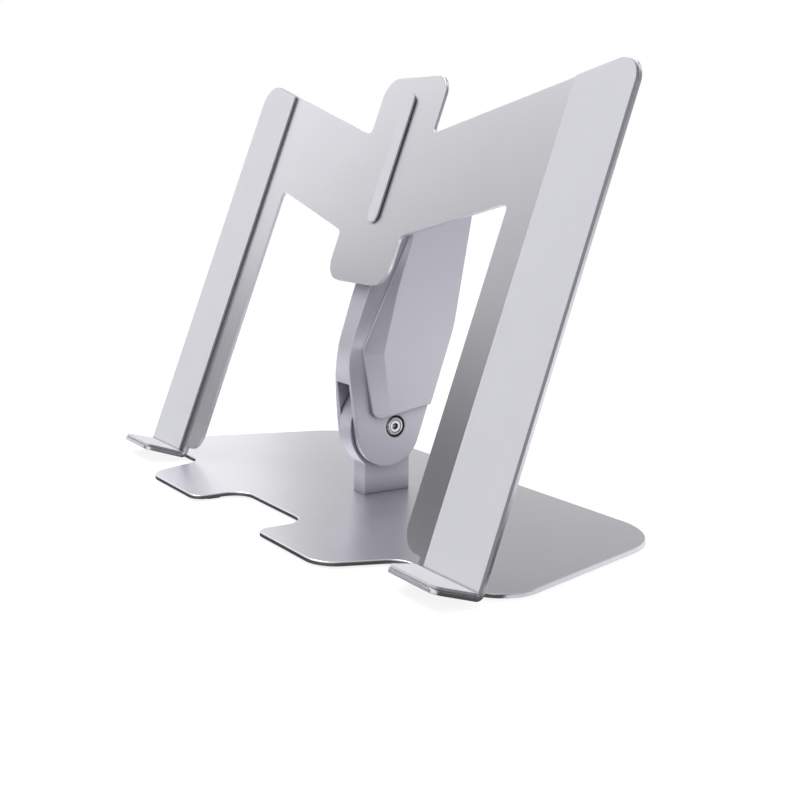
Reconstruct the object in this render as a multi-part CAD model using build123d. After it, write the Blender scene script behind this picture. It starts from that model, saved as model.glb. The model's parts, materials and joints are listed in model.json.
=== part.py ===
from build123d import *
from math import cos, radians, sin
import os

# Folding laptop stand: a flat base, an arm that pivots on a post, and an M-shaped panel
# with soft pads and two lips that holds the laptop. Millimetres, +Z up, the user at -Y.
# The origin is on the table, under the middle of the base.

# Base: a sheet that narrows to the back, with two tabs and three recesses at its front
base_depth = 131.1
base_front = -base_depth / 2
base_back = base_depth / 2
base_sheet = 1.6
base_rear_half = 113.3
base_side_slope = 0.275
base_edge_break = 0.3
rear_corner = 31
front_corner = 16
side_recess_depth = 28.6
centre_recess_depth = 22.4
recess_fillet = 9
tab_outer_x = 76
tab_side_slope = 0.355
tab_outer_corner = 12.5
tab_inner_x = 27.5
tab_inner_corner = 5.5

# Feet: soft strips, two under the front tabs and two near the back
foot_height = 1.0
foot_length = 44
foot_width = 11
foot_corner = 3
foot_front_inset = 10
foot_rear_inset = 12
foot_rear_side_inset = 35.3

# Pivots, as y and z. A sleeve and a screw meet in each, with their heads let in flush
lower_pivot_setback = 76
lower_pivot_height = 31.3
upper_pivot_setback = 94
upper_pivot_height = 122.6
lower_pivot = (base_front + lower_pivot_setback, lower_pivot_height)
upper_pivot = (base_front + upper_pivot_setback, upper_pivot_height)
sleeve_radius = 3.0
shank_radius = 2.0
head_radius = 4.15
head_height = 1.9
head_edge_break = 0.45
recess_radius = 4.7
socket_flats = 2.5
socket_depth = 1.3
washer_flats = 17
running_clearance = 0.05
face_clearance = 0.02

# Post: a narrow neck with a round head, flat at the back
post_half_width = 4.33
post_reach = 12.65
post_front = lower_pivot[0] - post_reach
post_depth = 22.3
post_head = 20


def from_pivot(offset):
    """A place on the arm, by how far it lies behind and above the lower pivot."""
    return (lower_pivot[0] + offset[0], lower_pivot[1] + offset[1])


# Arm: a front wall and two cheeks, open at the back, with a moulded cover on each cheek.
# Each offset is how far a place lies behind and above the lower pivot
arm_half_width = 8
arm_inner_half = 4.85
arm_foot_offset = (-3.05, -1.4)
arm_foot = from_pivot(arm_foot_offset)
arm_foot_radius = 15.4
arm_end_radius = 18.5
arm_knee_offset = (-22.75, 29.8)
arm_knee = from_pivot(arm_knee_offset)
arm_knee_radius = 45
arm_upper_lean = 0.345
arm_lower_lean = 0.125
arm_back_bend_offset = (28, 41.3)
arm_back_bend = from_pivot(arm_back_bend_offset)
arm_back_radius = 60
front_wall = 2.6
window_rise = 19
window_top = lower_pivot[1] + window_rise
front_wall_top = 119
rib_drop = 36.6
rib_height = upper_pivot[1] - rib_drop
rib_sheet = 2.2
rib_gap = 6

# Covers: the front edge has a knee, from which it leans back above and below
cover_thickness = 2
cover_setback = 3.5
cover_knee_offset = (-16.95, 33.6)
cover_knee = from_pivot(cover_knee_offset)
cover_knee_radius = 8
cover_upper_lean = 0.47
cover_lower_lean = 0.17
cover_bottom_offset = (14.2, 8.1)
cover_bottom = from_pivot(cover_bottom_offset)
cover_bottom_rise = 9.7
cover_corner = 4.5

# The side faces slope down to their front edges. Each section has its height above the lower
# pivot and its drop at the edge, and on the cover also how far behind that pivot it begins
cheek_slopes = ((4.7, 0.05), (34.7, 3.2), (53.7, 2.3), (111, 2.3))
cover_slopes = (
    (5.7, -3.45, 0.1),
    (31.3, -7.55, 1.6),
    (58.7, -0.95, 1.6),
    (80.7, 5.95, 1.6),
    (86.7, 8.45, 0.1),
)

# Panel: one bent sheet that leans back, with a lip at the foot of each leg
lean = 20
panel_setback = 26.28
panel_foot = base_front + panel_setback
panel_sheet = 1.4
panel_half = 135
leg_inner = 86.3
wing_height = 155.1
wing_rise = 0.264
wing_corner = 9.2
crossbar_height = 111.1
tongue_half = 23.4
tongue_top = 187.2
tongue_top_corner = 9
tongue_bottom = 95.6
tongue_bottom_corner = 9.8
leg_bottom = 4.5
leg_corner = 9
bend_inset = 12.2
bend_inner = leg_inner + bend_inset
bend_height = 1.94
bend_radius = 1.5
lip_droop = 4
lip_length = 15.8
lip_inner_taper = 6.3
lip_outer_taper = 2.2
lip_front_inner = bend_inner + lip_inner_taper
lip_front_outer = panel_half - lip_outer_taper
lip_corner = 3.8

# Pads
pad_thickness = 1.3
pad_inset = 17.1
pad_inner = leg_inner + pad_inset
pad_top_drop = 0.6
pad_bend_gap = 0.1
pad_lip_inset = 0.4
centre_pad_half = 3.8
centre_pad_bottom = 121.8
centre_pad_top = 178.8

# Bracket on the panel's back, and the countersunk screws of the bracket and the post
bracket_sheet = 2
bracket_half = 17
bracket_bottom = 112
bracket_top = 180
bracket_corner = 4
knuckle_bottom = 124
knuckle_top = 177
knuckle_radius = 9
bracket_screw_heights = {"bottom": 130, "top": 162}
post_screw_insets = {"front": 4.7, "rear": 17.7}
post_screw_places = {name: post_front + inset for name, inset in post_screw_insets.items()}
screw_radius = 1.5
screw_head_radius = 2.8
screw_head_height = 1.25
screw_length = 7.5
screw_flats = 2
thread_clearance = 0.05

# How far the shapes that cut or trim the arm reach past it
cutter_reach = 150

base_top = foot_height + base_sheet
head_seat = arm_half_width - head_height

panel_normal = (0, -cos(radians(lean)), sin(radians(lean)))
panel_plane = Plane((0, panel_foot, base_top), x_dir=(1, 0, 0), z_dir=panel_normal)
bend_plane = Plane(panel_plane.location * Location((0, bend_height, 0), (90, 0, 0)))
bend_axis = Axis(bend_plane.from_local_coords(Vector(0, bend_radius, 0)), (-1, 0, 0))
bend_angle = 90 - lip_droop
lip_start = (
    0,
    bend_height - bend_radius * cos(radians(lip_droop)),
    bend_radius * (1 - sin(radians(lip_droop))),
)
lip_plane = Plane(panel_plane.location * Location(lip_start, (90 + lip_droop, 0, 0)))


# Helpers


def rounded(corners):
    """A face through corners, each given as x, y and the radius that rounds it."""
    face = Sketch() + make_face(Polyline([(x, y) for x, y, _ in corners], close=True))
    for x, y, radius in corners:
        if radius:
            corner = face.vertices().sort_by_distance((x, y, 0))[0]
            face = fillet(corner, radius)
    return face


def both_sides(half):
    """The corners of the half at positive x, and then those of its mirror image."""
    return half + [(-x, y, radius) for x, y, radius in reversed(half)]


def slab(face, plane, start, end):
    """A face drawn on a plane, as a plate between two distances from that plane."""
    return extrude(plane.offset(start) * face, end - start)


def across(side_view, start, end):
    """A side view, as y and z, made solid between two places along X."""
    return slab(side_view, Plane.YZ, start, end)


def rod(centre, radius, start, end):
    return across(Pos(*centre) * Circle(radius), start, end)


def mirrored(part):
    return mirror(part, Plane.YZ)


def hexagon(flats):
    return RegularPolygon(flats / 2, 6, major_radius=False)


def side_point(height, out):
    """The y and z of a point up the panel's slope, and out from its front face."""
    point = panel_plane.from_local_coords(Vector(0, height, out))
    return (point.Y, point.Z)


# Base and post


def side_x(y):
    """Half the base's width at y."""
    return base_rear_half + base_side_slope * (base_back - y)


def screw_shape(length, clearance=0):
    """A countersunk head and shank that hang from z = 0, or the hole for them."""
    top = (Align.CENTER, Align.CENTER, Align.MAX)
    radius = screw_radius + clearance
    head = Cone(radius, screw_head_radius + clearance, screw_head_height, align=top)
    return head + Cylinder(radius, length, align=top)


def make_screw():
    return screw_shape(screw_length) - extrude(hexagon(screw_flats), -screw_head_height)


def from_below(y):
    """Where a screw under the base starts, turned so that it points up."""
    return Pos(0, y, foot_height) * Rot(180, 0, 0)


def make_base():
    recess = base_front + side_recess_depth
    half = [
        (tab_inner_x, base_front + centre_recess_depth, recess_fillet),
        (tab_inner_x, base_front, tab_inner_corner),
        (tab_outer_x, base_front, tab_outer_corner),
        (tab_outer_x + tab_side_slope * side_recess_depth, recess, recess_fillet),
        (side_x(recess), recess, front_corner),
        (side_x(base_back), base_back, rear_corner),
    ]
    plate = slab(rounded(both_sides(half)), Plane.XY, foot_height, base_top)
    plate = chamfer(plate.faces().sort_by(Axis.Z)[-1].edges(), base_edge_break)
    for y in post_screw_places.values():
        plate -= from_below(y) * screw_shape(screw_length, thread_clearance)
    return plate


def make_foot(x, y):
    """A strip with its four corners cut off."""
    strip = chamfer(Rectangle(foot_length, foot_width).vertices(), foot_corner)
    return Pos(x, y) * extrude(strip, foot_height)


def make_post():
    y, z = lower_pivot
    back = post_front + post_depth
    neck = Pos(post_front, base_top) * Rectangle(post_depth, z - base_top, align=Align.MIN)
    behind = Pos(back, z) * Rectangle(post_head, 2 * post_head, align=(Align.MIN, Align.CENTER))
    side_view = neck + (Pos(y, z) * Circle(post_head) - behind)
    post = across(side_view, -post_half_width, post_half_width)
    post -= rod(lower_pivot, sleeve_radius + running_clearance, -post_half_width, post_half_width)
    for y in post_screw_places.values():
        post -= from_below(y) * screw_shape(screw_length, thread_clearance)
    return post


# Pivot pieces, the same in both joints


def make_bolt(pivot):
    """Enters from the right, with a bevelled head that has a hex socket."""
    head = rod(pivot, head_radius, head_seat, arm_half_width)
    head = chamfer(head.edges().filter_by(GeomType.CIRCLE).sort_by(Axis.X)[-1], head_edge_break)
    shank = rod(pivot, shank_radius, -arm_inner_half, head_seat)
    socket = Pos(*pivot) * hexagon(socket_flats)
    return head + shank - across(socket, arm_half_width - socket_depth, arm_half_width)


def make_sleeve(pivot):
    """The tube that the joint turns on. Its flat head is on the left."""
    sleeve = rod(pivot, head_radius, -arm_half_width, -head_seat)
    sleeve += rod(pivot, sleeve_radius, -head_seat, head_seat)
    sleeve -= rod(pivot, shank_radius + running_clearance, -head_seat, head_seat)
    socket = Pos(*pivot) * hexagon(socket_flats)
    return sleeve - across(socket, -arm_half_width, socket_depth - arm_half_width)


def make_washer(pivot):
    """The eight-sided friction plate on the right, between a cheek and what it turns against."""
    near = post_half_width + face_clearance
    far = arm_inner_half - face_clearance
    plate = Pos(*pivot) * RegularPolygon(washer_flats / 2, 8, major_radius=False)
    return across(plate, near, far) - rod(pivot, sleeve_radius + running_clearance, near, far)


# Arm


def arm_side_view():
    """A round foot and end, with a knee at the front and a slight bend at the back."""
    ends = [Pos(*arm_foot) * Circle(arm_foot_radius), Pos(*upper_pivot) * Circle(arm_end_radius)]
    side_view = make_hull([*ends[0].edges(), *ends[1].edges(), Line(arm_knee, arm_back_bend)])
    for (y, z), radius in ((arm_knee, arm_knee_radius), (arm_back_bend, arm_back_radius)):
        corner = side_view.vertices().sort_by_distance((y, z, 0))[0]
        side_view = fillet(corner, radius)
    return side_view


def behind_front(depth):
    """What lies further than that depth behind the arm's front edges."""
    inset = offset(arm_side_view(), -depth)
    return inset + Pos(2 * depth, 0) * inset + Pos(4 * depth, 0) * inset


def edge_line(knee, upper_lean, lower_lean, height):
    """The y of a front edge at a height, with the knee left sharp."""
    above = height - knee[1]
    return knee[0] + (upper_lean * above if above > 0 else -lower_lean * above)


def slope_section(face_x, height, edge, start, drop):
    """A level cut through the wedge that slopes a side face down to its front edge."""
    reach = start - edge
    corners = [
        (face_x - drop * 1.4, edge - 0.4 * reach),
        (face_x + drop * 0.4, start + 0.4 * reach),
        (face_x + 2 * cover_thickness, start + 0.4 * reach),
        (face_x + 2 * cover_thickness, edge - 0.4 * reach),
    ]
    return Plane.XY.offset(height) * make_face(Polyline(corners, close=True))


def cheek_slope():
    """The wedge that slopes the right cheek from the cover's front edge to its own."""
    sections = []
    for rise, drop in cheek_slopes:
        height = lower_pivot[1] + rise
        edge = edge_line(arm_knee, arm_upper_lean, arm_lower_lean, height)
        start = edge_line(cover_knee, cover_upper_lean, cover_lower_lean, height)
        sections.append(slope_section(arm_half_width, height, edge, start, drop))
    return loft(sections, ruled=True)


def make_arm():
    arm = across(arm_side_view(), -arm_half_width, arm_half_width)
    channel = behind_front(front_wall)
    foot_gap = Rectangle(2 * cutter_reach, window_top, align=(Align.CENTER, Align.MIN))
    above_wall = Rectangle(2 * cutter_reach, cutter_reach, align=(Align.CENTER, Align.MIN))
    end_gap = Pos(*side_point(front_wall_top, 0)) * Rot(0, 0, -lean) * above_wall
    arm -= across(channel + foot_gap + end_gap, -arm_inner_half, arm_inner_half)
    rib = Pos(0, rib_height) * Rectangle(2 * cutter_reach, rib_sheet)
    rib = rib & arm_side_view() & Pos(-rib_gap, 0) * arm_side_view()
    arm += across(rib, -arm_inner_half, arm_inner_half)
    arm -= cheek_slope()
    arm -= mirrored(cheek_slope())
    for pivot in (lower_pivot, upper_pivot):
        arm -= rod(pivot, sleeve_radius + running_clearance, -arm_half_width, arm_half_width)
        recess = rod(pivot, recess_radius, head_seat, arm_half_width)
        arm -= recess
        arm -= mirrored(recess)
    return arm


def cover_side_view():
    """The cheek's side view, kept back from the front edges and cut above the foot."""
    y, z = cover_knee
    corners = [
        (y, z),
        (y + cover_upper_lean * cutter_reach, z + cutter_reach),
        (y + 2 * cutter_reach, z + cutter_reach),
        (y + 2 * cutter_reach, z - cutter_reach),
        (y + cover_lower_lean * cutter_reach, z - cutter_reach),
    ]
    behind_edge = make_face(Polyline(corners, close=True))
    behind_edge = fillet(behind_edge.vertices().sort_by(Axis.X)[0], cover_knee_radius)
    below = Rectangle(2 * cutter_reach, cutter_reach, align=(Align.CENTER, Align.MAX))
    below = Pos(*cover_bottom) * Rot(0, 0, cover_bottom_rise) * below
    side_view = (behind_edge & behind_front(cover_setback) & arm_side_view()) - below
    corner = side_view.vertices().sort_by(Axis.Y)[0]
    return fillet(corner, cover_corner)


def make_cover():
    """The cover on the right cheek."""
    face_x = arm_half_width + cover_thickness
    cover = across(cover_side_view(), arm_half_width, face_x)
    sections = []
    for rise, behind, drop in cover_slopes:
        height = lower_pivot[1] + rise
        edge = edge_line(cover_knee, cover_upper_lean, cover_lower_lean, height)
        sections.append(slope_section(face_x, height, edge, lower_pivot[0] + behind, drop))
    cover -= loft(sections, ruled=True)
    return cover - rod(upper_pivot, recess_radius, arm_half_width, face_x)


# Panel, pads and bracket


def wing_top(u):
    return wing_height + wing_rise * u


def bent_strip(inner, start, end):
    """The bend under the right leg, from that place to the panel's outer edge."""
    strip = Pos(inner, start) * Rectangle(panel_half - inner, end - start, align=Align.MIN)
    return revolve(bend_plane * strip, bend_axis, bend_angle)


def lip_outline(root, inset):
    corners = [
        (root + inset, 0, 0),
        (lip_front_inner + inset, lip_length - inset, lip_corner),
        (lip_front_outer - inset, lip_length - inset, lip_corner),
        (panel_half - inset, 0, 0),
    ]
    return rounded(corners)


def make_panel():
    half = [
        (tongue_half, tongue_top, tongue_top_corner),
        (tongue_half, wing_top(tongue_half), 2.5),
        (panel_half, wing_top(panel_half), wing_corner),
        (panel_half, bend_height, 0),
        (bend_inner, bend_height, 0),
        (bend_inner, leg_bottom, 1),
        (leg_inner, leg_bottom, leg_corner),
        (leg_inner, crossbar_height + wing_rise * leg_inner, 2.5),
        (tongue_half, crossbar_height + wing_rise * tongue_half, 3),
        (tongue_half, tongue_bottom, tongue_bottom_corner),
    ]
    panel = slab(rounded(both_sides(half)), panel_plane, -panel_sheet, 0)
    foot = bent_strip(bend_inner, -panel_sheet, 0)
    foot += slab(lip_outline(bend_inner, 0), lip_plane, 0, panel_sheet)
    panel += [foot, mirrored(foot)]
    for height in bracket_screw_heights.values():
        panel -= on_panel(height) * screw_shape(screw_length, thread_clearance)
    return panel


def make_pad():
    """The pad on the right leg, which runs on over the lip."""
    corners = [
        (pad_inner, bend_height, 0),
        (panel_half, bend_height, 0),
        (panel_half, wing_top(panel_half) - pad_top_drop, wing_corner),
        (pad_inner, wing_top(pad_inner) - pad_top_drop, 1.5),
    ]
    pad = slab(rounded(corners), panel_plane, 0, pad_thickness)
    pad += bent_strip(pad_inner, pad_bend_gap, pad_thickness)
    return pad + slab(lip_outline(bend_inner, pad_lip_inset), lip_plane, -pad_thickness, 0)


def make_centre_pad():
    length = centre_pad_top - centre_pad_bottom
    middle = (centre_pad_top + centre_pad_bottom) / 2
    shape = Pos(0, middle) * Rot(0, 0, 90) * SlotOverall(length, 2 * centre_pad_half)
    return slab(shape, panel_plane, 0, pad_thickness)


def on_panel(height):
    """Where a screw in the panel starts, on its front face."""
    return panel_plane.location * Pos(0, height, 0)


def make_bracket():
    back = -panel_sheet - bracket_sheet
    plate = Pos(0, (bracket_bottom + bracket_top) / 2)
    plate *= RectangleRounded(2 * bracket_half, bracket_top - bracket_bottom, bracket_corner)
    root = Line(side_point(knuckle_bottom, -panel_sheet), side_point(knuckle_top, -panel_sheet))
    eye = Pos(*upper_pivot) * Circle(knuckle_radius)
    knuckle = make_hull([root, *eye.edges()])
    bracket = slab(plate, panel_plane, back, -panel_sheet)
    bracket += across(knuckle, -post_half_width, post_half_width)
    bracket -= rod(upper_pivot, sleeve_radius + running_clearance, -post_half_width, post_half_width)
    for height in bracket_screw_heights.values():
        bracket -= on_panel(height) * screw_shape(screw_length, thread_clearance)
    return bracket


# Every piece by name


def make_pieces():
    pieces = {
        "base_plate": make_base(),
        "post": make_post(),
        "arm_frame": make_arm(),
        "hinge_bracket": make_bracket(),
        "panel": make_panel(),
        "pad_centre": make_centre_pad(),
    }
    pairs = {
        "foot_front": make_foot((tab_inner_x + tab_outer_x) / 2, base_front + foot_front_inset),
        "foot_rear": make_foot(base_rear_half - foot_rear_side_inset, base_back - foot_rear_inset),
        "arm_cover": make_cover(),
        "pad": make_pad(),
        "lower_washer": make_washer(lower_pivot),
        "upper_washer": make_washer(upper_pivot),
    }
    for name, part in pairs.items():
        pieces[name + "_right"] = part
        pieces[name + "_left"] = mirrored(part)
    for joint, pivot in (("lower", lower_pivot), ("upper", upper_pivot)):
        pieces[joint + "_bolt"] = make_bolt(pivot)
        pieces[joint + "_sleeve"] = make_sleeve(pivot)
    for name, y in post_screw_places.items():
        pieces["post_screw_" + name] = from_below(y) * make_screw()
    for name, height in bracket_screw_heights.items():
        pieces["bracket_screw_" + name] = on_panel(height) * make_screw()
    return pieces


os.makedirs("parts", exist_ok=True)
for name, part in make_pieces().items():
    solids = part.solids()
    if len(solids) != 1:
        raise ValueError(f"{name} has {len(solids)} solids")
    export_step(solids[0], f"parts/{name}.step")
    print(f"{name}: {solids[0].volume / 1000:.2f} cm3")
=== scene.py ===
import json
from math import cos, pi, radians, sin

import bmesh
import bpy
from mathutils import Matrix, Vector


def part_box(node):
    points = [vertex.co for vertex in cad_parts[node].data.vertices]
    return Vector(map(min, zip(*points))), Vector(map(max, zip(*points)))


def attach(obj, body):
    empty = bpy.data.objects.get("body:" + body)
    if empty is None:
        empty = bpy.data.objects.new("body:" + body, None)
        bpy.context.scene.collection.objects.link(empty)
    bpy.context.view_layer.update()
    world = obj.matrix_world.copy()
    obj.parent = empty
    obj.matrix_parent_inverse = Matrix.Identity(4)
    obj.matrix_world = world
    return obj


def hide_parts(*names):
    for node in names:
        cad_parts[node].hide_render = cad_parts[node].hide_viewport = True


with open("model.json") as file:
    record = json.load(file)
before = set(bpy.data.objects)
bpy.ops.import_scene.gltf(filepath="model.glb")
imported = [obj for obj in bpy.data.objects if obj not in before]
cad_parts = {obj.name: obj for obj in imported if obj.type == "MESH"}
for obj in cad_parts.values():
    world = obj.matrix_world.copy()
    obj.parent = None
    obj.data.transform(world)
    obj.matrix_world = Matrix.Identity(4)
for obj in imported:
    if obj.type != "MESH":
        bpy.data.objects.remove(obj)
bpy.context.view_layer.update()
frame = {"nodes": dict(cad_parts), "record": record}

# Folding laptop stand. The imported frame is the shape. This script adds the camera, the light, the finishes
# and the fine pieces. All sizes are in metres
nodes = frame["nodes"]
print("frame loaded:", len(nodes), "nodes")

# Camera, found from the photograph's perspective
cameraLook = {
    "place": (0.4525, -0.2808, 0.1410),
    "azimuth": 56.655,      # degrees from the front, towards the right
    "elevation": 5.936,     # degrees looking down
    "roll": -0.967,
    "lens": 57.39,
    "sensor": 36.0,
    "shiftUp": -0.127,
    "nearest": 0.01,
}


def placeCamera(look):
    a = radians(look["azimuth"])
    e = radians(look["elevation"])
    r = radians(look["roll"])
    ahead = Vector((-sin(a) * cos(e), cos(a) * cos(e), -sin(e)))
    levelRight = Vector((cos(a), sin(a), 0))
    levelDown = ahead.cross(levelRight)
    right = levelRight * cos(r) + levelDown * sin(r)
    down = levelDown * cos(r) - levelRight * sin(r)
    data = bpy.data.cameras.new("photoCamera")
    data.lens = look["lens"]
    data.sensor_width = look["sensor"]
    data.sensor_fit = "HORIZONTAL"
    data.shift_y = look["shiftUp"]
    data.clip_start = look["nearest"]
    camera = bpy.data.objects.new("photoCamera", data)
    turn = Matrix((right, -down, -ahead)).transposed()
    camera.matrix_world = Matrix.Translation(Vector(look["place"])) @ turn.to_4x4()
    bpy.context.scene.collection.objects.link(camera)
    bpy.context.scene.camera = camera


placeCamera(cameraLook)
bpy.context.scene.view_settings.view_transform = "Standard"
print("camera placed")


# Small helpers for node trees
def addNode(tree, kind, at, **settings):
    node = tree.nodes.new(kind)
    node.location = at
    for key, value in settings.items():
        setattr(node, key, value)
    return node


def mathNode(tree, operation, first, second, at, clamp=False):
    node = addNode(tree, "ShaderNodeMath", at, operation=operation, use_clamp=clamp)
    for socket, value in zip(node.inputs, (first, second)):
        if isinstance(value, (int, float)):
            socket.default_value = value
        elif value is not None:
            tree.links.new(value, socket)
    return node.outputs[0]


def newMaterial(name):
    material = bpy.data.materials.new(name)
    material.use_nodes = True
    tree = material.node_tree
    tree.nodes.clear()
    output = addNode(tree, "ShaderNodeOutputMaterial", (900, 0))
    return material, tree, output


def seenDirectly(tree, at):
    path = addNode(tree, "ShaderNodeLightPath", at)
    camera, glossy = path.outputs["Is Camera Ray"], path.outputs["Is Glossy Ray"]
    either = mathNode(tree, "ADD", camera, glossy, (at[0] + 200, at[1]))
    return mathNode(tree, "ADD", either, path.outputs["Is Transmission Ray"], (at[0] + 380, at[1]), True)


# Floor, background and lamps
studioLook = {
    "floorHalf": 4.0,
    "floorDrop": 0.00002,
    "inView": (0.86, 0.34),      # the floor's own white, and its share of the light, which shadows take away
    "inMetal": (0.30, 0.85),     # the same as metal reflects it
    "floorBounce": (0.80, 0.80, 0.82),
    "skyColour": (0.93, 0.94, 1.0),
    "skyStrength": 0.53,
    "keyPower": 16.0,
    "keyPlace": (-0.75, -0.35, 1.65),
    "keySize": 1.1,
    "fillPower": 1.0,
    "fillPlace": (1.4, 0.2, 0.9),
    "fillSize": 1.0,
    "lampAim": (0, 0, 0.08),
}


def makeFloor(look):
    half = look["floorHalf"]
    mesh = bpy.data.meshes.new("floor")
    corners = [(-half, -half, 0), (half, -half, 0), (half, half, 0), (-half, half, 0)]
    mesh.from_pydata(corners, [], [(0, 1, 2, 3)])
    floor = bpy.data.objects.new("floor", mesh)
    floor.location.z = -look["floorDrop"]
    bpy.context.scene.collection.objects.link(floor)
    material, tree, output = newMaterial("paleFloor")
    bounce = addNode(tree, "ShaderNodeBsdfDiffuse", (700, -200))
    bounce.inputs["Color"].default_value = (*look["floorBounce"], 1)
    path = addNode(tree, "ShaderNodeLightPath", (-600, 200))
    skins = []
    for high, (glowNow, shareNow) in ((300, look["inView"]), (0, look["inMetal"])):
        glow = addNode(tree, "ShaderNodeEmission", (300, high))
        glow.inputs["Strength"].default_value = glowNow
        lit = addNode(tree, "ShaderNodeBsdfDiffuse", (300, high - 120))
        lit.inputs["Color"].default_value = (shareNow, shareNow, shareNow, 1)
        both = addNode(tree, "ShaderNodeAddShader", (500, high))
        tree.links.new(glow.outputs[0], both.inputs[0])
        tree.links.new(lit.outputs[0], both.inputs[1])
        skins.append(both.outputs[0])
    pick = addNode(tree, "ShaderNodeMixShader", (700, 100))
    tree.links.new(path.outputs["Is Camera Ray"], pick.inputs["Fac"])
    tree.links.new(skins[1], pick.inputs[1])
    tree.links.new(skins[0], pick.inputs[2])
    mix = addNode(tree, "ShaderNodeMixShader", (900, 0))
    tree.links.new(seenDirectly(tree, (-200, 500)), mix.inputs["Fac"])
    tree.links.new(bounce.outputs[0], mix.inputs[1])
    tree.links.new(pick.outputs[0], mix.inputs[2])
    tree.links.new(mix.outputs[0], output.inputs["Surface"])
    mesh.materials.append(material)


def makeSky(look):
    world = bpy.data.worlds.new("studio")
    bpy.context.scene.world = world
    world.use_nodes = True
    tree = world.node_tree
    tree.nodes.clear()
    output = addNode(tree, "ShaderNodeOutputWorld", (600, 0))
    light = addNode(tree, "ShaderNodeBackground", (200, 100))
    light.inputs["Color"].default_value = (*look["skyColour"], 1)
    light.inputs["Strength"].default_value = look["skyStrength"]
    white = addNode(tree, "ShaderNodeBackground", (200, -100))
    white.inputs["Color"].default_value = (1, 1, 1, 1)
    mix = addNode(tree, "ShaderNodeMixShader", (400, 0))
    tree.links.new(seenDirectly(tree, (-400, 300)), mix.inputs["Fac"])
    tree.links.new(light.outputs[0], mix.inputs[1])
    tree.links.new(white.outputs[0], mix.inputs[2])
    tree.links.new(mix.outputs[0], output.inputs["Surface"])


def makeLamp(name, power, place, size, aim):
    data = bpy.data.lights.new(name, "AREA")
    data.energy = power
    data.size = size
    lamp = bpy.data.objects.new(name, data)
    lamp.location = place
    lamp.rotation_euler = (Vector(aim) - Vector(place)).to_track_quat("-Z", "Y").to_euler()
    bpy.context.scene.collection.objects.link(lamp)


# Cards stand around the stand, as in a studio, so that the bright metal shades off. Only reflections show
# them. Azimuth is in degrees from the front, low and high are heights, foot and head are brightness there
cardLook = {
    "frontLow": {
        "azimuth": -38, "distance": 1.3, "width": 1.5,
        "low": 0.07, "high": 0.42, "foot": 0.0, "head": 0.02,
    },
    "frontHigh": {
        "azimuth": -36, "distance": 1.3, "width": 1.35,
        "low": 0.42, "high": 1.3, "foot": 0.36, "head": 0.6,
    },
    "backHigh": {
        "azimuth": -143, "distance": 1.2, "width": 1.2,
        "low": 0.29, "high": 1.4, "foot": 0.3, "head": 0.4,
    },
    "rightSide": {
        "azimuth": 84, "distance": 0.8, "width": 0.85,
        "low": 0.0, "high": 0.7, "foot": 0.04, "head": 0.04,
    },
    "rearLow": {
        "azimuth": 136, "distance": 0.8, "width": 0.75,
        "low": 0.0, "high": 0.1, "foot": 1.0, "head": 0.95,
    },
    "rearHigh": {
        "azimuth": 136, "distance": 0.8, "width": 0.75,
        "low": 0.1, "high": 0.9, "foot": 0.25, "head": 0.25,
    },
}
# Cards that lie flat: their corners, height and brightness
layLook = {
    "ceiling": {"nearLeft": (-1.6, -1.6), "farRight": (1.6, 1.6), "height": 1.9, "shade": 0.5},
    # The next card is painted shadow: a dark sheet on the floor just in front of the base, where the stand's
    # contact shade falls. Only reflections show it
    "frontEdgeShadow": {"nearLeft": (-0.16, -0.14), "farRight": (0.16, -0.03), "height": 0.00002, "shade": 0.06},
    "backFloor": {"nearLeft": (-0.65, 0.08), "farRight": (-0.13, 0.55), "height": 0.00002, "shade": 0.06},
    "rightFloor": {"nearLeft": (0.15, -0.32), "farRight": (0.70, 0.05), "height": 0.00002, "shade": 0.06},
}


def placeCard(name, corners):
    mesh = bpy.data.meshes.new(name)
    mesh.from_pydata(corners, [], [(0, 1, 2, 3)])
    card = bpy.data.objects.new(name, mesh)
    bpy.context.scene.collection.objects.link(card)
    card.visible_camera = False
    card.visible_diffuse = False
    card.visible_shadow = False
    return card


def layCard(name, look):
    (x0, y0), (x1, y1) = look["nearLeft"], look["farRight"]
    card = placeCard(name, [(x0, y0, 0), (x1, y0, 0), (x1, y1, 0), (x0, y1, 0)])
    card.location.z = look["height"]
    material, tree, output = newMaterial(name)
    skin = addNode(tree, "ShaderNodeEmission", (600, 0))
    skin.inputs["Strength"].default_value = look["shade"]
    tree.links.new(skin.outputs[0], output.inputs["Surface"])
    card.data.materials.append(material)


def makeCard(name, look):
    a = radians(look["azimuth"])
    w = look["width"] / 2
    low, high = look["low"], look["high"]
    card = placeCard(name, [(-w, 0, low), (w, 0, low), (w, 0, high), (-w, 0, high)])
    card.location = (sin(a) * look["distance"], -cos(a) * look["distance"], 0)
    card.rotation_euler.z = a
    material, tree, output = newMaterial(name)
    place = addNode(tree, "ShaderNodeTexCoord", (0, 0))
    split = addNode(tree, "ShaderNodeSeparateXYZ", (200, 0))
    shade = addNode(tree, "ShaderNodeMapRange", (400, 0))
    ends = {"From Min": low, "From Max": high, "To Min": look["foot"], "To Max": look["head"]}
    for label, value in ends.items():
        shade.inputs[label].default_value = value
    skin = addNode(tree, "ShaderNodeEmission", (600, 0))
    tree.links.new(place.outputs["Object"], split.inputs[0])
    tree.links.new(split.outputs["Z"], shade.inputs["Value"])
    tree.links.new(shade.outputs["Result"], skin.inputs["Strength"])
    tree.links.new(skin.outputs[0], output.inputs["Surface"])
    card.data.materials.append(material)


makeFloor(studioLook)
makeSky(studioLook)
for lampName in ("key", "fill"):
    power, place, size = [studioLook[lampName + part] for part in ("Power", "Place", "Size")]
    makeLamp(f"{lampName}Lamp", power, place, size, studioLook["lampAim"])
for cardName, cardValues in cardLook.items():
    makeCard(cardName, cardValues)
for cardName, cardValues in layLook.items():
    layCard(cardName, cardValues)
print("studio ready")
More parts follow.
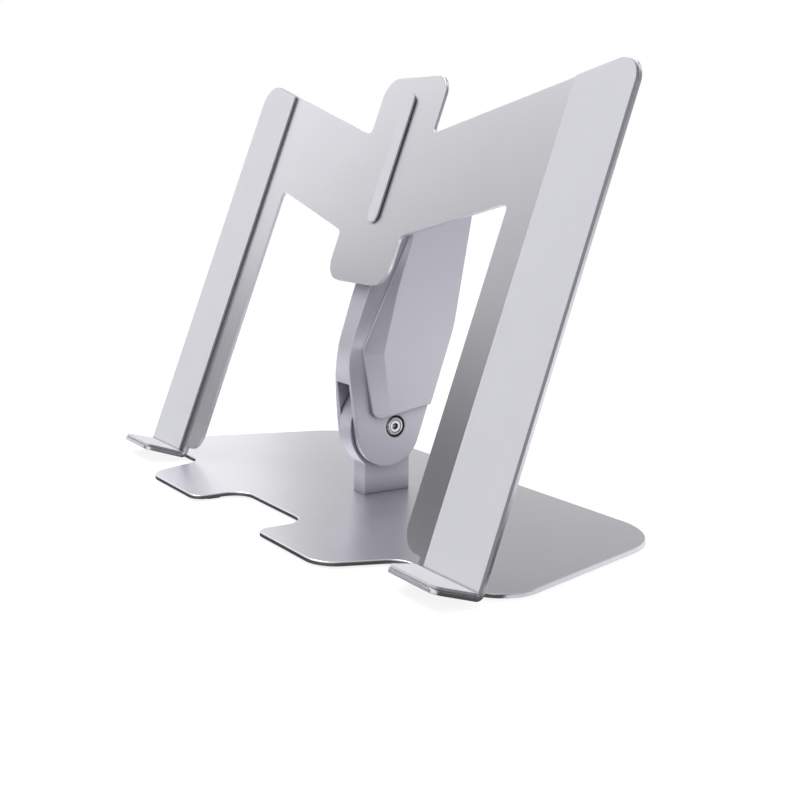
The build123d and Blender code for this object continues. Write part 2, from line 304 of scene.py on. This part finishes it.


# Effects that the finishes share: grain, rounded edges, painted highlights on turned edges and painted shade
# in recesses
def newGroup(name, inputs, outputs):
    group = bpy.data.node_groups.new(name, "ShaderNodeTree")
    for label, kind, value in inputs:
        socket = group.interface.new_socket(label, in_out="INPUT", socket_type=kind)
        socket.default_value = value
    for label, kind in outputs:
        group.interface.new_socket(label, in_out="OUTPUT", socket_type=kind)
    start = addNode(group, "NodeGroupInput", (-900, 0))
    end = addNode(group, "NodeGroupOutput", (900, 0))
    return group, start, end


effectLook = {
    "fineDetail": 3.0,
    "fineRoughness": 0.7,
    "cloudDetail": 4.0,
    "shadeSamples": 6,
    "roundSamples": 6,
    "edgeSamples": 4,
    "edgeHighlightGain": 3.0,      # how soon a turned edge gets the full painted highlight
}


def makeGrainGroup(look):
    number = "NodeSocketFloat"
    inputs = [("Grains per metre", number, 3000.0), ("Cloud size", number, 0.03)]
    group, start, end = newGroup("fineGrain", inputs, [("Grain", number), ("Cloud", number)])
    place = addNode(group, "ShaderNodeTexCoord", (-900, 300))
    fine = addNode(group, "ShaderNodeTexNoise", (-500, 200))
    fine.inputs["Detail"].default_value = look["fineDetail"]
    fine.inputs["Roughness"].default_value = look["fineRoughness"]
    cloud = addNode(group, "ShaderNodeTexNoise", (-500, -200))
    cloud.inputs["Detail"].default_value = look["cloudDetail"]
    perMetre = mathNode(group, "DIVIDE", 1.0, start.outputs["Cloud size"], (-700, -200))
    group.links.new(place.outputs["Object"], fine.inputs["Vector"])
    group.links.new(place.outputs["Object"], cloud.inputs["Vector"])
    group.links.new(start.outputs["Grains per metre"], fine.inputs["Scale"])
    group.links.new(perMetre, cloud.inputs["Scale"])
    group.links.new(fine.outputs["Fac"], end.inputs["Grain"])
    group.links.new(cloud.outputs["Fac"], end.inputs["Cloud"])
    return group


def makeEdgeGroup(look):
    number = "NodeSocketFloat"
    inputs = [("Radius", number, 0.0003), ("Width", number, 0.0006), ("Depth", number, 0.002)]
    outputs = [("EdgeHighlight", number), ("PaintedShade", number), ("Normal", "NodeSocketVector")]
    group, start, end = newGroup("softEdge", inputs, outputs)
    # Painted shade: ambient occlusion marks how deep in a recess a point lies, and the finishes darken their
    # colour by it. Depth is how far this painted shade reaches
    occlusion = addNode(group, "ShaderNodeAmbientOcclusion", (-500, -500), samples=look["shadeSamples"])
    group.links.new(start.outputs["Depth"], occlusion.inputs["Distance"])
    shadeMask = mathNode(group, "SUBTRACT", 1.0, occlusion.outputs["AO"], (-50, -500), True)
    group.links.new(shadeMask, end.inputs["PaintedShade"])
    rounded = addNode(group, "ShaderNodeBevel", (-500, 200), samples=look["roundSamples"])
    # Painted highlight: near an edge the wide bevel's normal turns away from the face's own, and this marks
    # where the silver finishes lighten their colour
    wide = addNode(group, "ShaderNodeBevel", (-500, -100), samples=look["edgeSamples"])
    flat = addNode(group, "ShaderNodeNewGeometry", (-500, -300))
    dot = addNode(group, "ShaderNodeVectorMath", (-250, -150), operation="DOT_PRODUCT")
    group.links.new(start.outputs["Radius"], rounded.inputs["Radius"])
    group.links.new(start.outputs["Width"], wide.inputs["Radius"])
    group.links.new(wide.outputs[0], dot.inputs[0])
    group.links.new(flat.outputs["Normal"], dot.inputs[1])
    turned = mathNode(group, "SUBTRACT", 1.0, dot.outputs["Value"], (-50, -150))
    edge = mathNode(group, "MULTIPLY", turned, look["edgeHighlightGain"], (150, -150), True)
    group.links.new(edge, end.inputs["EdgeHighlight"])
    group.links.new(rounded.outputs[0], end.inputs["Normal"])
    return group


grainGroup = makeGrainGroup(effectLook)
edgeGroup = makeEdgeGroup(effectLook)


def useGroup(tree, group, at, **values):
    node = addNode(tree, "ShaderNodeGroup", at, node_tree=group)
    for label, value in values.items():
        node.inputs[label.replace("_", " ")].default_value = value
    return node


def mixColour(tree, factor, first, second, at):
    node = addNode(tree, "ShaderNodeMix", at, data_type="RGBA")
    for socket, value in ((node.inputs[0], factor), (node.inputs[6], first), (node.inputs[7], second)):
        if isinstance(value, tuple):
            socket.default_value = (*value, 1)
        elif isinstance(value, (int, float)):
            socket.default_value = value
        else:
            tree.links.new(value, socket)
    return node.outputs[2]


# Finishes
sheetLook = {
    "dark": (0.83, 0.825, 0.875),
    "light": (0.88, 0.875, 0.925),
    # Next: the painted highlight colour, towards which turned edges are lightened
    "edge": (0.93, 0.93, 0.96),
    # Next: the painted shade colour, towards which hollows and gaps darken
    "recess": (0.10, 0.10, 0.12),
    "edgeRadius": 0.00035,
    "edgeWidth": 0.000525,
    "edgeHighlightShare": 0.5,
    "recessDepth": 0.0015,
    "recessShare": 0.75,
    "metal": 1.0,
    "roughness": 0.30,
    "roughSpread": 0.08,
    "grains": 3200.0,
    "cloudSize": 0.035,
    "grainHeight": 0.000012,
    "grainStrength": 0.25,
}
castLook = {
    "dark": (0.74, 0.73, 0.80),
    "light": (0.79, 0.78, 0.85),
    # Next: the painted highlight colour, towards which turned edges are lightened
    "edge": (0.88, 0.87, 0.93),
    # Next: the painted shade colour, towards which hollows and gaps darken
    "recess": (0.02, 0.02, 0.025),
    "edgeRadius": 0.0010,
    "edgeWidth": 0.0015,
    "edgeHighlightShare": 0.1,
    "recessDepth": 0.008,
    "recessShare": 0.95,
    "metal": 0.78,
    "roughness": 0.46,
    "roughSpread": 0.08,
    "grains": 3200.0,
    "cloudSize": 0.035,
    "grainHeight": 0.000016,
    "grainStrength": 0.3,
}
siliconeLook = {
    "dark": (0.79, 0.79, 0.805),
    "light": (0.84, 0.84, 0.855),
    "side": (0.36, 0.36, 0.38),     # painted shade on the faces that turn sideways, towards +X and towards -X
    "shadedSideTurn": (0.55, 0.85),       # how far a face must turn sideways to be one of them
    # Next: the painted shade colour, towards which bends and the feet of the sides darken
    "recess": (0.03, 0.03, 0.035),
    "recessDepth": 0.0010,
    "recessShare": 1.5,
    "edgeRadius": 0.0005,
    "roughness": 0.55,
    "grains": 2200.0,
    "cloudSize": 0.02,
    "grainHeight": 0.00002,
    "grainStrength": 0.3,
}
steelLook = {
    "dark": (0.74, 0.74, 0.76),
    "light": (0.84, 0.84, 0.86),
    # Next: the painted shade colour, towards which the socket and gaps darken
    "recess": (0.004, 0.004, 0.005),
    "recessDepth": 0.0016,
    "recessShare": 1.8,
    "edgeRadius": 0.00015,
    "roughness": 0.12,
    "roughSpread": 0.1,
    "grains": 5000.0,
    "cloudSize": 0.004,
}
discLook = {
    "dark": (0.03, 0.03, 0.033),
    "light": (0.05, 0.05, 0.054),
    "roughness": 0.55,
    "grains": 2500.0,
    "cloudSize": 0.006,
}


def useGrain(tree, look):
    return useGroup(tree, grainGroup, (-600, 200), Grains_per_metre=look["grains"],
                    Cloud_size=look["cloudSize"])


def makeSilver(name, look):
    material, tree, output = newMaterial(name)
    skin = addNode(tree, "ShaderNodeBsdfPrincipled", (600, 0))
    skin.inputs["Metallic"].default_value = look["metal"]
    grain = useGrain(tree, look)
    edge = useGroup(tree, edgeGroup, (-600, -200), Radius=look["edgeRadius"], Width=look["edgeWidth"],
                    Depth=look["recessDepth"])
    body = mixColour(tree, grain.outputs["Cloud"], look["dark"], look["light"], (-200, 300))
    # Painted highlight: turned edges are lightened towards the edge colour
    highlightAmount = mathNode(tree, "MULTIPLY", edge.outputs["EdgeHighlight"], look["edgeHighlightShare"], (-200, 0))
    bright = mixColour(tree, highlightAmount, body, look["edge"], (0, 250))
    # Painted shade: colour darkens where ambient occlusion finds a hollow
    shadeAmount = mathNode(tree, "MULTIPLY", edge.outputs["PaintedShade"], look["recessShare"], (0, 50))
    colour = mixColour(tree, shadeAmount, bright, look["recess"], (250, 200))
    spread = mathNode(tree, "MULTIPLY", grain.outputs["Grain"], look["roughSpread"], (-200, -150))
    rough = mathNode(tree, "ADD", spread, look["roughness"] - look["roughSpread"] / 2, (100, -100))
    bump = addNode(tree, "ShaderNodeBump", (300, -250))
    bump.inputs["Distance"].default_value = look["grainHeight"]
    bump.inputs["Strength"].default_value = look["grainStrength"]
    tree.links.new(grain.outputs["Grain"], bump.inputs["Height"])
    tree.links.new(edge.outputs["Normal"], bump.inputs["Normal"])
    tree.links.new(colour, skin.inputs["Base Color"])
    tree.links.new(rough, skin.inputs["Roughness"])
    tree.links.new(bump.outputs[0], skin.inputs["Normal"])
    tree.links.new(skin.outputs[0], output.inputs["Surface"])
    return material


def makeSilicone(look):
    material, tree, output = newMaterial("softSilicone")
    skin = addNode(tree, "ShaderNodeBsdfPrincipled", (600, 0))
    skin.inputs["Roughness"].default_value = look["roughness"]
    grain = useGrain(tree, look)
    edge = useGroup(tree, edgeGroup, (-600, -200), Radius=look["edgeRadius"], Depth=look["recessDepth"])
    plain = mixColour(tree, grain.outputs["Cloud"], look["dark"], look["light"], (-200, 300))
    # Painted shade: faces that turn sideways, towards +X and towards -X, take the darker side colour
    surface = addNode(tree, "ShaderNodeTexCoord", (-900, 600))
    parts = addNode(tree, "ShaderNodeSeparateXYZ", (-700, 600))
    sideways = mathNode(tree, "ABSOLUTE", parts.outputs["X"], None, (-500, 600))
    sideShadeMask = addNode(tree, "ShaderNodeMapRange", (-300, 600))
    for label, value in zip(("From Min", "From Max"), look["shadedSideTurn"]):
        sideShadeMask.inputs[label].default_value = value
    tree.links.new(surface.outputs["Normal"], parts.inputs[0])
    tree.links.new(sideways, sideShadeMask.inputs["Value"])
    sideShaded = mixColour(tree, sideShadeMask.outputs["Result"], plain, look["side"], (-50, 450))
    # Painted shade: the pads darken at their bends and where their sides meet the sheet
    shadeAmount = mathNode(tree, "MULTIPLY", edge.outputs["PaintedShade"], look["recessShare"], (-200, 50), True)
    body = mixColour(tree, shadeAmount, sideShaded, look["recess"], (100, 250))
    bump = addNode(tree, "ShaderNodeBump", (300, -250))
    bump.inputs["Distance"].default_value = look["grainHeight"]
    bump.inputs["Strength"].default_value = look["grainStrength"]
    tree.links.new(grain.outputs["Grain"], bump.inputs["Height"])
    tree.links.new(edge.outputs["Normal"], bump.inputs["Normal"])
    tree.links.new(body, skin.inputs["Base Color"])
    tree.links.new(bump.outputs[0], skin.inputs["Normal"])
    tree.links.new(skin.outputs[0], output.inputs["Surface"])
    return material


def makeSteel(look):
    material, tree, output = newMaterial("screwSteel")
    skin = addNode(tree, "ShaderNodeBsdfPrincipled", (600, 0))
    skin.inputs["Metallic"].default_value = 1.0
    grain = useGrain(tree, look)
    edge = useGroup(tree, edgeGroup, (-600, -200), Radius=look["edgeRadius"], Depth=look["recessDepth"])
    body = mixColour(tree, grain.outputs["Cloud"], look["dark"], look["light"], (-100, 250))
    # Painted shade: the socket and the gaps darken
    shadeAmount = mathNode(tree, "MULTIPLY", edge.outputs["PaintedShade"], look["recessShare"], (-100, 50), True)
    colour = mixColour(tree, shadeAmount, body, look["recess"], (200, 200))
    spread = mathNode(tree, "MULTIPLY", grain.outputs["Grain"], look["roughSpread"], (-200, -50))
    rough = mathNode(tree, "ADD", spread, look["roughness"] - look["roughSpread"] / 2, (100, -50))
    tree.links.new(colour, skin.inputs["Base Color"])
    tree.links.new(rough, skin.inputs["Roughness"])
    tree.links.new(edge.outputs["Normal"], skin.inputs["Normal"])
    tree.links.new(skin.outputs[0], output.inputs["Surface"])
    return material


def makeDisc(look):
    material, tree, output = newMaterial("frictionDisc")
    skin = addNode(tree, "ShaderNodeBsdfPrincipled", (600, 0))
    skin.inputs["Roughness"].default_value = look["roughness"]
    grain = useGrain(tree, look)
    colour = mixColour(tree, grain.outputs["Grain"], look["dark"], look["light"], (-100, 250))
    tree.links.new(colour, skin.inputs["Base Color"])
    tree.links.new(skin.outputs[0], output.inputs["Surface"])
    return material


castSilver = makeSilver("castSilver", castLook)
castNodes = ("arm_frame", "arm_cover_left", "arm_cover_right", "post")
finishOf = {
    "anodised_silver": makeSilver("sheetSilver", sheetLook),
    "silicone": makeSilicone(siliconeLook),
    "screw_steel": makeSteel(steelLook),
    "friction_disc": makeDisc(discLook),
}
for entry in frame["record"]["subparts"]:
    piece = nodes[entry["node"]]
    piece.data.materials.clear()
    finish = castSilver if entry["node"] in castNodes else finishOf[entry["material_slot"]]
    piece.data.materials.append(finish)
print("finishes given to", len(nodes), "nodes")


# Rounded pieces for the soft solids: the outline comes from the frame, and the edges are rounded off
padLook = {"edge": 0.0004, "steps": 3, "flatTurn": 1.0, "sharpTurn": 38.0, "merge": 1e-6}
footLook = {"edge": 0.0003, "steps": 2, "flatTurn": 1.0, "sharpTurn": 38.0, "merge": 1e-6}


def linkPiece(name, mesh):
    piece = bpy.data.objects.new(name, mesh)
    bpy.context.scene.collection.objects.link(piece)
    return piece


def applyModifiers(piece):
    graph = bpy.context.evaluated_depsgraph_get()
    finished = bpy.data.meshes.new_from_object(piece.evaluated_get(graph))
    piece.modifiers.clear()
    piece.data = finished


def makeRounded(name, nodeName, body, slot, look):
    mesh = nodes[nodeName].data.copy()
    shape = bmesh.new()
    shape.from_mesh(mesh)
    bmesh.ops.remove_doubles(shape, verts=shape.verts, dist=look["merge"])
    flat = radians(look["flatTurn"])
    bmesh.ops.dissolve_limit(shape, angle_limit=flat, verts=shape.verts, edges=shape.edges)
    shape.to_mesh(mesh)
    shape.free()
    piece = linkPiece(name, mesh)
    rounding = piece.modifiers.new("rounding", "BEVEL")
    rounding.width = look["edge"]
    rounding.segments = look["steps"]
    rounding.limit_method = "ANGLE"
    rounding.angle_limit = radians(look["sharpTurn"])
    rounding.use_clamp_overlap = True
    applyModifiers(piece)
    piece.data.shade_smooth()
    piece.data.set_sharp_from_angle(angle=radians(look["sharpTurn"]))
    even = piece.modifiers.new("evenShading", "WEIGHTED_NORMAL")
    even.keep_sharp = True
    applyModifiers(piece)
    piece.data.materials.clear()
    piece.data.materials.append(finishOf[slot])
    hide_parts(nodeName)
    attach(piece, body)


for side in ("left", "right"):
    makeRounded(f"{side}Pad", f"pad_{side}", "panel", "silicone", padLook)
    for end in ("front", "rear"):
        makeRounded(f"{end}Foot{side.capitalize()}", f"foot_{end}_{side}", "base", "silicone", footLook)
makeRounded("middlePad", "pad_centre", "panel", "silicone", padLook)
print("pads and feet rounded")


# Turned pieces of the pivots, as rings of radius and place along the axle. Hexagonal rings make the socket
boltLook = {
    "turns": 60,
    "sharpTurn": 30.0,
    "headRadius": 0.00415,
    "headFace": 0.0080,
    "headSeat": 0.0061,
    "axleRadius": 0.0001,        # the socket's floor closes on this small ring
    "rimDrop": 0.00014,
    "rimGap": 0.00045,
    "rimHeight": 0.0009,
    "rimLift": 0.00004,
    "rimSteps": 8,
    "socketFlats": 0.0025,
    "socketDepth": 0.0013,
    "socketTip": 0.0003,
    "socketBevel": 0.00012,
    "grooveRadius": 0.0026,
    "grooveDepth": 0.00016,
    "grooveHalf": 0.00022,
    "grooveFloorHalf": 0.00010,
    "shankRadius": 0.0020,
    "shankEnd": -0.00485,
    "shankBevel": 0.0004,
    "sleeveRadius": 0.0030,
    "boreRadius": 0.00205,
}


def headRings(look):
    face = look["headFace"]
    inner = face - look["rimDrop"]
    half = look["socketFlats"] / 2
    socketFloor = face - look["socketDepth"]
    groove = look["grooveRadius"]
    grooveFloor = inner - look["grooveDepth"]
    rings = [
        ("round", look["axleRadius"], socketFloor - look["socketTip"]),
        ("hex", half, socketFloor),
        ("hex", half, inner - look["socketBevel"]),
        ("hex", half + look["socketBevel"], inner),
        ("round", groove - look["grooveHalf"], inner),
        ("round", groove - look["grooveFloorHalf"], grooveFloor),
        ("round", groove + look["grooveFloorHalf"], grooveFloor),
        ("round", groove + look["grooveHalf"], inner + look["rimLift"]),
    ]
    rimStart = groove + look["rimGap"]
    rimWidth = look["headRadius"] - rimStart
    for step in range(look["rimSteps"] + 1):
        turn = pi / 2 * step / look["rimSteps"]
        rings.append(("round", rimStart + rimWidth * sin(turn), face - look["rimHeight"] * (1 - cos(turn))))
    return rings


def makeTurned(name, nodeName, rings, facing, slot, look):
    foreAft, height = [(low + high) / 2 for low, high in zip(*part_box(nodeName))][1:]
    shape = bmesh.new()
    loops = []
    count = look["turns"]
    for kind, radius, along in rings:
        loop = []
        for step in range(count):
            turn = 2 * pi * step / count
            reach = radius
            if kind == "hex":
                fromFlat = (turn + pi / 6) % (pi / 3) - pi / 6
                reach = radius / cos(fromFlat)
            y = foreAft + reach * cos(turn)
            z = height + reach * sin(turn)
            loop.append(shape.verts.new((facing * along, y, z)))
        loops.append(loop)
    for first, second in zip(loops, loops[1:]):
        for step in range(count):
            after = (step + 1) % count
            shape.faces.new((first[step], second[step], second[after], first[after]))
    shape.faces.new(loops[0])
    shape.faces.new(reversed(loops[-1]))
    bmesh.ops.recalc_face_normals(shape, faces=shape.faces)
    mesh = bpy.data.meshes.new(name)
    shape.to_mesh(mesh)
    shape.free()
    mesh.shade_smooth()
    mesh.set_sharp_from_angle(angle=radians(look["sharpTurn"]))
    mesh.materials.append(finishOf[slot])
    piece = linkPiece(name, mesh)
    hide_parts(nodeName)
    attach(piece, "arm")


def boltRings(look):
    shank = look["shankRadius"]
    return headRings(look) + [
        ("round", look["headRadius"], look["headSeat"]),
        ("round", shank, look["headSeat"]),
        ("round", shank, look["shankEnd"] + look["shankBevel"]),
        ("round", shank - look["shankBevel"], look["shankEnd"]),
    ]


def sleeveRings(look):
    seat = look["headSeat"]
    return headRings(look) + [
        ("round", look["headRadius"], seat),
        ("round", look["sleeveRadius"], seat),
        ("round", look["sleeveRadius"], -seat),
        ("round", look["boreRadius"], -seat),
        ("round", look["boreRadius"], seat),
    ]


for pivot in ("lower", "upper"):
    makeTurned(f"{pivot}Screw", f"{pivot}_bolt", boltRings(boltLook), 1, "screw_steel", boltLook)
    makeTurned(f"{pivot}Sleeve", f"{pivot}_sleeve", sleeveRings(boltLook), -1, "screw_steel", boltLook)
print("pivot pieces turned")
